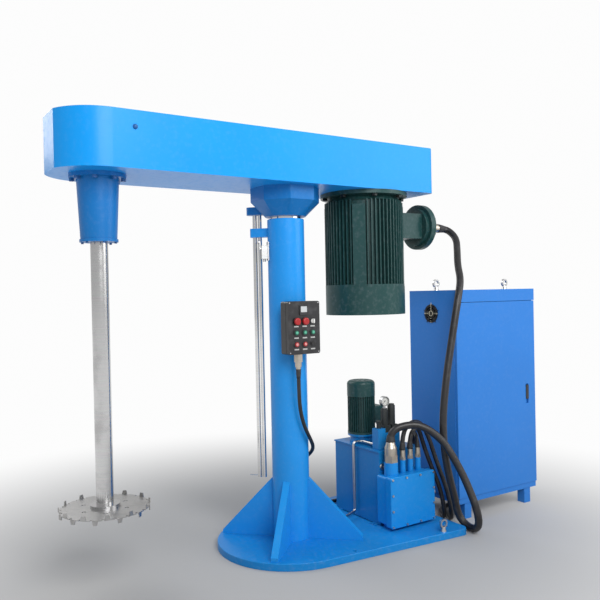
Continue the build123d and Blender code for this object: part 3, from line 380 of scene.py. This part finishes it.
# Mask of a hub with four arms, seen along X; on the fan guard everything outside it is painted
# shade
def buildArmMask():
    group, start, end = makeGroup(
        "armMask",
        [("Centre", "NodeSocketVector", (0, 0, 0)), ("Hub", "NodeSocketFloat", 0.018),
         ("Arm", "NodeSocketFloat", 0.004)], [("Mask", "NodeSocketFloat")])
    link = group.links.new
    place = addNode(group, "ShaderNodeTexCoord")
    offset = addNode(group, "ShaderNodeVectorMath", operation="SUBTRACT")
    link(place.outputs["Object"], offset.inputs[0])
    link(start.outputs["Centre"], offset.inputs[1])
    parts = group.nodes.new("ShaderNodeSeparateXYZ")
    link(offset.outputs[0], parts.inputs[0])
    inside = []
    for axis in ("Y", "Z"):
        size = addNode(group, "ShaderNodeMath", operation="ABSOLUTE")
        near = addNode(group, "ShaderNodeMath", operation="LESS_THAN")
        link(parts.outputs[axis], size.inputs[0])
        link(size.outputs[0], near.inputs[0])
        link(start.outputs["Arm"], near.inputs[1])
        inside.append((size, near))
    flat = group.nodes.new("ShaderNodeCombineXYZ")
    link(parts.outputs["Y"], flat.inputs["Y"])
    link(parts.outputs["Z"], flat.inputs["Z"])
    reach = addNode(group, "ShaderNodeVectorMath", operation="LENGTH")
    link(flat.outputs[0], reach.inputs[0])
    hub = addNode(group, "ShaderNodeMath", operation="LESS_THAN")
    link(reach.outputs["Value"], hub.inputs[0])
    link(start.outputs["Hub"], hub.inputs[1])
    arms = addNode(group, "ShaderNodeMath", operation="MAXIMUM")
    link(inside[0][1].outputs[0], arms.inputs[0])
    link(inside[1][1].outputs[0], arms.inputs[1])
    whole = addNode(group, "ShaderNodeMath", operation="MAXIMUM")
    link(arms.outputs[0], whole.inputs[0])
    link(hub.outputs[0], whole.inputs[1])
    link(whole.outputs[0], end.inputs["Mask"])
    return group


twoTone("bolt_colours", buildSideMask(), {"Edge": -0.2},
        ((0.006, 0.10, 0.32), 0.0, 0.35), ((0.03, 0.05, 0.05), 1.0, 0.35))
# Fan guard: the near-black first colour, outside the hub and arms, is painted shade standing in
# for the guard's openings
twoTone("guard_arms_and_painted_shade", buildArmMask(), {"Centre": (1.068, -0.096, 1.331)},
        ((0.008, 0.008, 0.009), 0.0, 0.6), ((0.50, 0.47, 0.36), 0.0, 0.4))
for name, finish in (("flange_bolts", "bolt_colours"), ("fan_guard", "guard_arms_and_painted_shade"),
                     ("selector_knob", "knob_white"), ("limit_switch", "aluminium")):
    nodes[name].data.materials[0] = finishes[finish]
print("two-tone nodes painted")


# Cables: one smooth curve each, along the same route points as the solids
cableSettings = {
    "motor_cable": {
        "diameter": 0.046, "rings": 20, "lay": "hanging", "stiffness": "medium",
        "length": 3.285,
        "route": [
            (1.231, 0, 1.912), (1.280, 0, 1.912), (1.316, -0.032, 1.893),
            (1.316, -0.095, 1.835), (1.255, -0.160, 1.745), (1.190, -0.225, 1.645),
            (1.112, -0.326, 1.550), (1.040, -0.372, 1.440), (1.002, -0.376, 1.300),
            (0.968, -0.373, 1.140), (0.932, -0.375, 1.000), (0.903, -0.379, 0.860),
            (0.884, -0.380, 0.735), (0.880, -0.379, 0.610), (0.890, -0.380, 0.470),
            (0.915, -0.387, 0.330), (0.950, -0.398, 0.190), (0.972, -0.402, 0.080),
            (0.988, -0.458, 0.0235), (0.984, -0.536, 0.0235), (0.956, -0.592, 0.080),
            (0.940, -0.588, 0.170), (0.932, -0.548, 0.262), (0.916, -0.505, 0.360),
            (0.885, -0.460, 0.462), (0.846, -0.415, 0.559), (0.778, -0.365, 0.632),
            (0.721, -0.322, 0.663), (0.655, -0.284, 0.660), (0.600, -0.256, 0.642),
            (0.572, -0.242, 0.605), (0.572, -0.242, 0.565)]},
    "supply_cable_1": {
        "diameter": 0.028, "rings": 16, "lay": "loose", "stiffness": "medium",
        "length": 1.558,
        "route": [
            (0.665, -0.242, 0.502), (0.665, -0.242, 0.600), (0.735, -0.238, 0.665),
            (0.835, -0.222, 0.655), (0.900, -0.224, 0.560), (0.940, -0.250, 0.395),
            (0.985, -0.305, 0.202), (1.008, -0.320, 0.0145), (1.110, -0.165, 0.0145),
            (1.235, -0.120, 0.0145), (1.420, -0.085, 0.0145), (1.420, -0.085, 0.200)]},
    "supply_cable_2": {
        "diameter": 0.028, "rings": 16, "lay": "loose", "stiffness": "medium",
        "length": 1.43,
        "route": [
            (0.727, -0.242, 0.502), (0.727, -0.242, 0.580), (0.785, -0.232, 0.628),
            (0.850, -0.195, 0.595), (0.895, -0.178, 0.505), (0.925, -0.205, 0.380),
            (0.968, -0.262, 0.202), (0.990, -0.275, 0.0145), (1.085, -0.115, 0.0145),
            (1.200, -0.060, 0.0145), (1.388, -0.025, 0.0145), (1.388, -0.025, 0.200)]},
    "control_cable": {
        "diameter": 0.022, "rings": 14, "lay": "hanging", "stiffness": "medium",
        "length": 2.92,
        "route": [
            (-0.042, -0.175, 1.050), (-0.042, -0.175, 0.950), (-0.030, -0.163, 0.820),
            (0.002, -0.152, 0.720), (0.052, -0.134, 0.640), (0.104, -0.095, 0.575),
            (0.136, -0.020, 0.520), (0.125, 0.062, 0.465), (0.082, 0.128, 0.400),
            (0.050, 0.192, 0.300), (0.052, 0.262, 0.190), (0.090, 0.338, 0.100),
            (0.190, 0.380, 0.0515), (0.330, 0.392, 0.0515), (0.500, 0.388, 0.0515),
            (0.680, 0.380, 0.0515), (0.830, 0.340, 0.0515), (0.905, 0.235, 0.060),
            (0.916, 0.100, 0.130), (0.918, -0.010, 0.240), (0.916, -0.060, 0.390),
            (0.900, -0.088, 0.510), (0.855, -0.135, 0.580), (0.815, -0.195, 0.582),
            (0.790, -0.242, 0.558), (0.790, -0.242, 0.502)]}}


def newPiece(name, mesh):
    piece = bpy.data.objects.new(name, mesh)
    mixerScene.collection.objects.link(piece)
    return piece


def routeLine(name, route):
    data = bpy.data.curves.new(name + "Route", "CURVE")
    data.dimensions = "3D"
    data.resolution_u = 14
    spline = data.splines.new("NURBS")
    spline.points.add(len(route) - 1)
    for point, place in zip(spline.points, route):
        point.co = (*place, 1)
    spline.order_u = 3
    spline.use_endpoint_u = True
    holder = newPiece(name + "Route", data)
    bpy.context.view_layer.update()
    line = bpy.data.meshes.new_from_object(holder)
    places = [vertex.co.copy() for vertex in line.vertices]
    bpy.data.objects.remove(holder)
    return places


def tubeMesh(name, line, radius, rings):
    mesh = bpy.data.meshes.new(name)
    work = bmesh.new()
    side = None
    loops = []
    for index, centre in enumerate(line):
        before = line[max(index - 1, 0)]
        after = line[min(index + 1, len(line) - 1)]
        along = (after - before).normalized()
        if side is None:
            side = along.orthogonal().normalized()
        side = (side - along * side.dot(along)).normalized()
        across = along.cross(side)
        loop = []
        for step in range(rings):
            angle = 2 * math.pi * step / rings
            offset = side * math.cos(angle) + across * math.sin(angle)
            loop.append(work.verts.new(centre + offset * radius))
        loops.append(loop)
    for first, second in zip(loops, loops[1:]):
        for step in range(rings):
            following = (step + 1) % rings
            work.faces.new((first[step], first[following], second[following],
                            second[step]))
    work.faces.new(list(reversed(loops[0])))
    work.faces.new(loops[-1])
    bmesh.ops.recalc_face_normals(work, faces=work.faces)
    work.to_mesh(mesh)
    work.free()
    mesh.polygons.foreach_set("use_smooth", [len(p.vertices) == 4 for p in mesh.polygons])
    return mesh


def lineLength(line):
    return sum((b - a).length for a, b in zip(line, line[1:]))


for name, settings in cableSettings.items():
    line = routeLine(name, settings["route"])
    mesh = tubeMesh(name + "Sheath", line, settings["diameter"] / 2, settings["rings"])
    mesh.materials.append(finishes["cable_rubber"])
    piece = newPiece(name + "Sheath", mesh)
    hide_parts(name)
    if name == "motor_cable":
        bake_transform(piece)
    else:
        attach(piece, "base")
    print(name, "length", round(lineLength(line), 3))
print("cables laid")


# Tapered rubber boots where the cables leave their glands
bootSettings = {
    "motorBootTop": {"cable": "motor_cable", "from_end": False, "body": "lift",
                     "reach": 0.050, "wall": 0.007},
    "motorBootFoot": {"cable": "motor_cable", "from_end": True, "body": "base",
                      "reach": 0.034, "wall": 0.006},
    "supplyBoot1": {"cable": "supply_cable_1", "from_end": False, "body": "base",
                    "reach": 0.040, "wall": 0.005},
    "supplyBoot2": {"cable": "supply_cable_2", "from_end": False, "body": "base",
                    "reach": 0.040, "wall": 0.005},
    "controlBoot": {"cable": "control_cable", "from_end": True, "body": "base",
                    "reach": 0.036, "wall": 0.005},
    "stationBoot": {"cable": "control_cable", "from_end": False, "body": "base",
                    "reach": 0.045, "wall": 0.004}}


def bootMesh(name, line, radius, wall, reach, rings=20):
    kept = [line[0]]
    gone = 0
    for before, after in zip(line, line[1:]):
        gone += (after - before).length
        kept.append(after)
        if gone > reach:
            break
    mesh = bpy.data.meshes.new(name)
    work = bmesh.new()
    skins = {"outer": [], "inner": []}
    side = None
    for index, centre in enumerate(kept):
        along = (kept[min(index + 1, len(kept) - 1)] - kept[max(index - 1, 0)]).normalized()
        if side is None:
            side = along.orthogonal().normalized()
        side = (side - along * side.dot(along)).normalized()
        across = along.cross(side)
        share = index / (len(kept) - 1)
        rib = 0.0012 * (index % 2) * (1 - share)
        sizes = {"outer": radius + wall * (1 - share) + 0.0009 - rib, "inner": radius + 0.0003}
        for skin, size in sizes.items():
            skins[skin].append([work.verts.new(
                centre + (side * math.cos(a) + across * math.sin(a)) * size)
                for a in (2 * math.pi * step / rings for step in range(rings))])
    for loops in skins.values():
        for first, second in zip(loops, loops[1:]):
            for step in range(rings):
                following = (step + 1) % rings
                work.faces.new((first[step], first[following], second[following],
                                second[step]))
    for end in (0, -1):
        outer, inner = skins["outer"][end], skins["inner"][end]
        for step in range(rings):
            following = (step + 1) % rings
            work.faces.new((outer[step], outer[following], inner[following], inner[step]))
    bmesh.ops.recalc_face_normals(work, faces=work.faces)
    work.to_mesh(mesh)
    work.free()
    mesh.polygons.foreach_set("use_smooth", [True] * len(mesh.polygons))
    return mesh


for name, settings in bootSettings.items():
    cable = cableSettings[settings["cable"]]
    line = routeLine(name, cable["route"])
    if settings["from_end"]:
        line.reverse()
    mesh = bootMesh(name, line, cable["diameter"] / 2, settings["wall"], settings["reach"])
    mesh.materials.append(finishes["boot_rubber"])
    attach(newPiece(name, mesh), settings["body"])
print("boots fitted")


# Control station: lens caps, label strips, meter window and lid screws
stationSettings = {
    "front": -0.215, "buttonFront": -0.224, "lensRadius": 0.0082, "lensHeight": 0.0022,
    "lenses": {
        "greenLens1": ("green_1", -0.076, 1.260, "lens_green"),
        "greenLens2": ("green_2", -0.020, 1.260, "lens_green"),
        "greenLens3": ("green_3", 0.034, 1.260, "lens_green"),
        "redLens1": ("red_1", -0.076, 1.194, "lens_red"),
        "redLens2": ("red_2", -0.020, 1.194, "lens_red")},
    "labels": [(x, z) for z in (1.2955, 1.2305, 1.1655) for x in (-0.076, -0.020, 0.034)],
    "labelSize": (0.030, 0.0012, 0.0075),
    "window": (-0.0465, -0.0055, 1.3755, 1.4080),
    "screws": [(-0.118, 1.147), (0.074, 1.147), (-0.118, 1.428), (0.074, 1.428)]}


def plateInto(work, low, high, edge):
    centre = [(a + b) / 2 for a, b in zip(low, high)]
    size = [b - a for a, b in zip(low, high)]
    shape = Matrix.Translation(centre) @ Matrix.Diagonal((*size, 1))
    made = bmesh.ops.create_cube(work, size=1, matrix=shape)
    edges = list({e for v in made["verts"] for e in v.link_edges})
    bmesh.ops.bevel(work, geom=edges, offset=edge, segments=2, affect="EDGES")


def domeInto(work, centre, radius, height, steps=22):
    loops = []
    for share, rise in ((1.0, 0.0), (0.96, 0.5), (0.78, 0.82), (0.45, 0.97)):
        loops.append([work.verts.new((
            centre[0] + radius * share * math.cos(2 * math.pi * step / steps),
            centre[1] - height * rise,
            centre[2] + radius * share * math.sin(2 * math.pi * step / steps)))
            for step in range(steps)])
    for first, second in zip(loops, loops[1:]):
        for step in range(steps):
            following = (step + 1) % steps
            work.faces.new((first[step], first[following], second[following], second[step]))
    work.faces.new(loops[-1])
    work.faces.new(list(reversed(loops[0])))


def finishPiece(name, work, finish, body):
    bmesh.ops.recalc_face_normals(work, faces=work.faces)
    mesh = bpy.data.meshes.new(name)
    work.to_mesh(mesh)
    work.free()
    mesh.materials.append(finishes[finish])
    piece = newPiece(name, mesh)
    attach(piece, body)
    return piece


def dressStation(settings):
    front = settings["front"]
    for name, (body, x, z, finish) in settings["lenses"].items():
        work = bmesh.new()
        domeInto(work, (x, settings["buttonFront"] - 0.0002, z), settings["lensRadius"],
                 settings["lensHeight"])
        finishPiece(name, work, finish, body)
    wide, deep, high = settings["labelSize"]
    work = bmesh.new()
    for x, z in settings["labels"]:
        plateInto(work, (x - wide / 2, front - 0.0002 - deep, z - high / 2),
                  (x + wide / 2, front - 0.0002, z + high / 2), 0.0003)
    finishPiece("stationLabels", work, "bare_label", "base")
    left, right, low, top = settings["window"]
    work = bmesh.new()
    plateInto(work, (left, front - 0.0066, low), (right, front - 0.0052, top), 0.0004)
    finishPiece("meterWindow", work, "meter_window", "base")
    work = bmesh.new()
    for x, z in settings["screws"]:
        domeInto(work, (x, front - 0.0002, z), 0.0042, 0.0022, 16)
    finishPiece("stationScrews", work, "zinc_steel", "base")


dressStation(stationSettings)
print("control station dressed")


# Pressure gauge: a pale dial with ticks round its rim and a hole for the pin
dialSettings = {"centre": (0.640, -0.1113, 0.790), "radius": 0.0262, "hole": 0.0024,
                "thick": 0.0006, "ticks": 26}


def buildTickMask():
    group, start, end = makeGroup(
        "tickMask",
        [("Centre", "NodeSocketVector", (0, 0, 0)), ("Ticks", "NodeSocketFloat", 26.0),
         ("Inner", "NodeSocketFloat", 0.019)], [("Mask", "NodeSocketFloat")])
    link = group.links.new
    place = addNode(group, "ShaderNodeTexCoord")
    offset = addNode(group, "ShaderNodeVectorMath", operation="SUBTRACT")
    link(place.outputs["Object"], offset.inputs[0])
    link(start.outputs["Centre"], offset.inputs[1])
    parts = group.nodes.new("ShaderNodeSeparateXYZ")
    link(offset.outputs[0], parts.inputs[0])
    angle = addNode(group, "ShaderNodeMath", operation="ARCTAN2")
    link(parts.outputs["Z"], angle.inputs[0])
    link(parts.outputs["X"], angle.inputs[1])
    turned = addNode(group, "ShaderNodeMath", operation="MULTIPLY")
    link(angle.outputs[0], turned.inputs[0])
    link(start.outputs["Ticks"], turned.inputs[1])
    wave = addNode(group, "ShaderNodeMath", operation="COSINE")
    link(turned.outputs[0], wave.inputs[0])
    line = addNode(group, "ShaderNodeMath", operation="GREATER_THAN")
    line.inputs[1].default_value = 0.75
    link(wave.outputs[0], line.inputs[0])
    reach = addNode(group, "ShaderNodeVectorMath", operation="LENGTH")
    link(offset.outputs[0], reach.inputs[0])
    outside = addNode(group, "ShaderNodeMath", operation="GREATER_THAN")
    link(reach.outputs["Value"], outside.inputs[0])
    link(start.outputs["Inner"], outside.inputs[1])
    both = addNode(group, "ShaderNodeMath", operation="MULTIPLY")
    link(line.outputs[0], both.inputs[0])
    link(outside.outputs[0], both.inputs[1])
    link(both.outputs[0], end.inputs["Mask"])
    return group


def buildDial(settings):
    twoTone("dial_face", buildTickMask(),
            {"Centre": settings["centre"], "Ticks": float(settings["ticks"])},
            ((0.60, 0.60, 0.57), 0.0, 0.4), ((0.02, 0.02, 0.02), 0.0, 0.5))
    x, y, z = settings["centre"]
    steps = 40
    work = bmesh.new()
    loops = []
    for radius, back in ((settings["hole"], 0), (settings["radius"], 0),
                         (settings["radius"], settings["thick"]),
                         (settings["hole"], settings["thick"])):
        loops.append([work.verts.new((x + radius * math.cos(2 * math.pi * step / steps),
                                      y - settings["thick"] + back - 0.0001,
                                      z + radius * math.sin(2 * math.pi * step / steps)))
                      for step in range(steps)])
    for first, second in zip(loops, loops[1:] + loops[:1]):
        for step in range(steps):
            following = (step + 1) % steps
            work.faces.new((first[step], first[following], second[following], second[step]))
    finishPiece("gaugeDial", work, "dial_face", "base")


buildDial(dialSettings)
print("gauge dial set")


# Floor, backdrop and light
studioSettings = {
    "floorColour": 0.42, "fadeStart": 0.9, "fadeEnd": 3.6, "worldLight": 0.40,
    "mirrorLight": 0.62, "seenLight": 0.98, "floorHalf": 30, "floorHeight": -0.001,
    "skyColour": (0.95, 0.97, 1, 1),
    "lamps": {
        "keyLamp": {"place": (-0.8, -5.0, 4.4), "aim": (0.2, 0, 1.2), "size": 3.2, "power": 265},
        "fillLamp": {"place": (3.6, -3.2, 3.2), "aim": (0.4, 0, 1.0), "size": 3.0, "power": 70},
        "rimLamp": {"place": (-1.5, 3.6, 4.2), "aim": (0, 0, 1.4), "size": 3.0, "power": 90}}}


# Mask that grows with the distance from the object along the floor
def buildFadeMask():
    group, start, end = makeGroup(
        "floorFade", [("Near", "NodeSocketFloat", 1.6), ("Far", "NodeSocketFloat", 7.5)],
        [("Mask", "NodeSocketFloat")])
    place = addNode(group, "ShaderNodeTexCoord")
    reach = addNode(group, "ShaderNodeVectorMath", operation="LENGTH")
    ramp = addNode(group, "ShaderNodeMapRange", interpolation_type="SMOOTHSTEP")
    group.links.new(place.outputs["Object"], reach.inputs[0])
    group.links.new(reach.outputs["Value"], ramp.inputs["Value"])
    group.links.new(start.outputs["Near"], ramp.inputs["From Min"])
    group.links.new(start.outputs["Far"], ramp.inputs["From Max"])
    group.links.new(ramp.outputs["Result"], end.inputs["Mask"])
    return group


def buildStudio(settings):
    mesh = bpy.data.meshes.new("studioFloor")
    work = bmesh.new()
    bmesh.ops.create_grid(work, x_segments=2, y_segments=2, size=settings["floorHalf"])
    work.to_mesh(mesh)
    work.free()
    floor = newPiece("studioFloor", mesh)
    floor.location = (0, 0, settings["floorHeight"])
    material, tree, shader = newMaterial("studioFloor")
    grey = settings["floorColour"]
    shader.inputs["Base Color"].default_value = (grey, grey, grey, 1)
    shader.inputs["Roughness"].default_value = 0.9
    shader.inputs["Specular IOR Level"].default_value = 0.1
    fade = tree.nodes.new("ShaderNodeGroup")
    fade.node_tree = buildFadeMask()
    fade.inputs["Near"].default_value = settings["fadeStart"]
    fade.inputs["Far"].default_value = settings["fadeEnd"]
    glow = addNode(tree, "ShaderNodeEmission", Color=(1, 1, 1, 1),
                   Strength=settings["seenLight"])
    blendFloor = tree.nodes.new("ShaderNodeMixShader")
    tree.links.new(fade.outputs["Mask"], blendFloor.inputs[0])
    tree.links.new(shader.outputs[0], blendFloor.inputs[1])
    tree.links.new(glow.outputs[0], blendFloor.inputs[2])
    tree.links.new(blendFloor.outputs[0], tree.nodes["Material Output"].inputs["Surface"])
    mesh.materials.append(material)

    world = bpy.data.worlds.new("studioWorld")
    mixerScene.world = world
    world.use_nodes = True
    tree = world.node_tree
    tree.nodes.clear()
    link = tree.links.new
    out = tree.nodes.new("ShaderNodeOutputWorld")
    lightPath = tree.nodes.new("ShaderNodeLightPath")
    seen = addNode(tree, "ShaderNodeBackground", Color=(1, 1, 1, 1),
                   Strength=settings["seenLight"])
    soft = addNode(tree, "ShaderNodeBackground", Color=settings["skyColour"],
                   Strength=settings["worldLight"])
    mirrored = addNode(tree, "ShaderNodeBackground", Color=(1, 1, 1, 1),
                       Strength=settings["mirrorLight"])
    mix = tree.nodes.new("ShaderNodeMixShader")
    link(lightPath.outputs["Is Glossy Ray"], mix.inputs[0])
    link(soft.outputs[0], mix.inputs[1])
    link(mirrored.outputs[0], mix.inputs[2])
    whole = tree.nodes.new("ShaderNodeMixShader")
    link(lightPath.outputs["Is Camera Ray"], whole.inputs[0])
    link(mix.outputs[0], whole.inputs[1])
    link(seen.outputs[0], whole.inputs[2])
    link(whole.outputs[0], out.inputs["Surface"])

    for name, lampSettings in settings["lamps"].items():
        place = Vector(lampSettings["place"])
        data = bpy.data.lights.new(name, "AREA")
        data.size = lampSettings["size"]
        data.energy = lampSettings["power"]
        lamp = bpy.data.objects.new(name, data)
        lamp.location = place
        aim = Vector(lampSettings["aim"]) - place
        lamp.rotation_euler = aim.to_track_quat("-Z", "Y").to_euler()
        mixerScene.collection.objects.link(lamp)


buildStudio(studioSettings)
mixerScene.view_settings.view_transform = "Standard"
print("studio built")
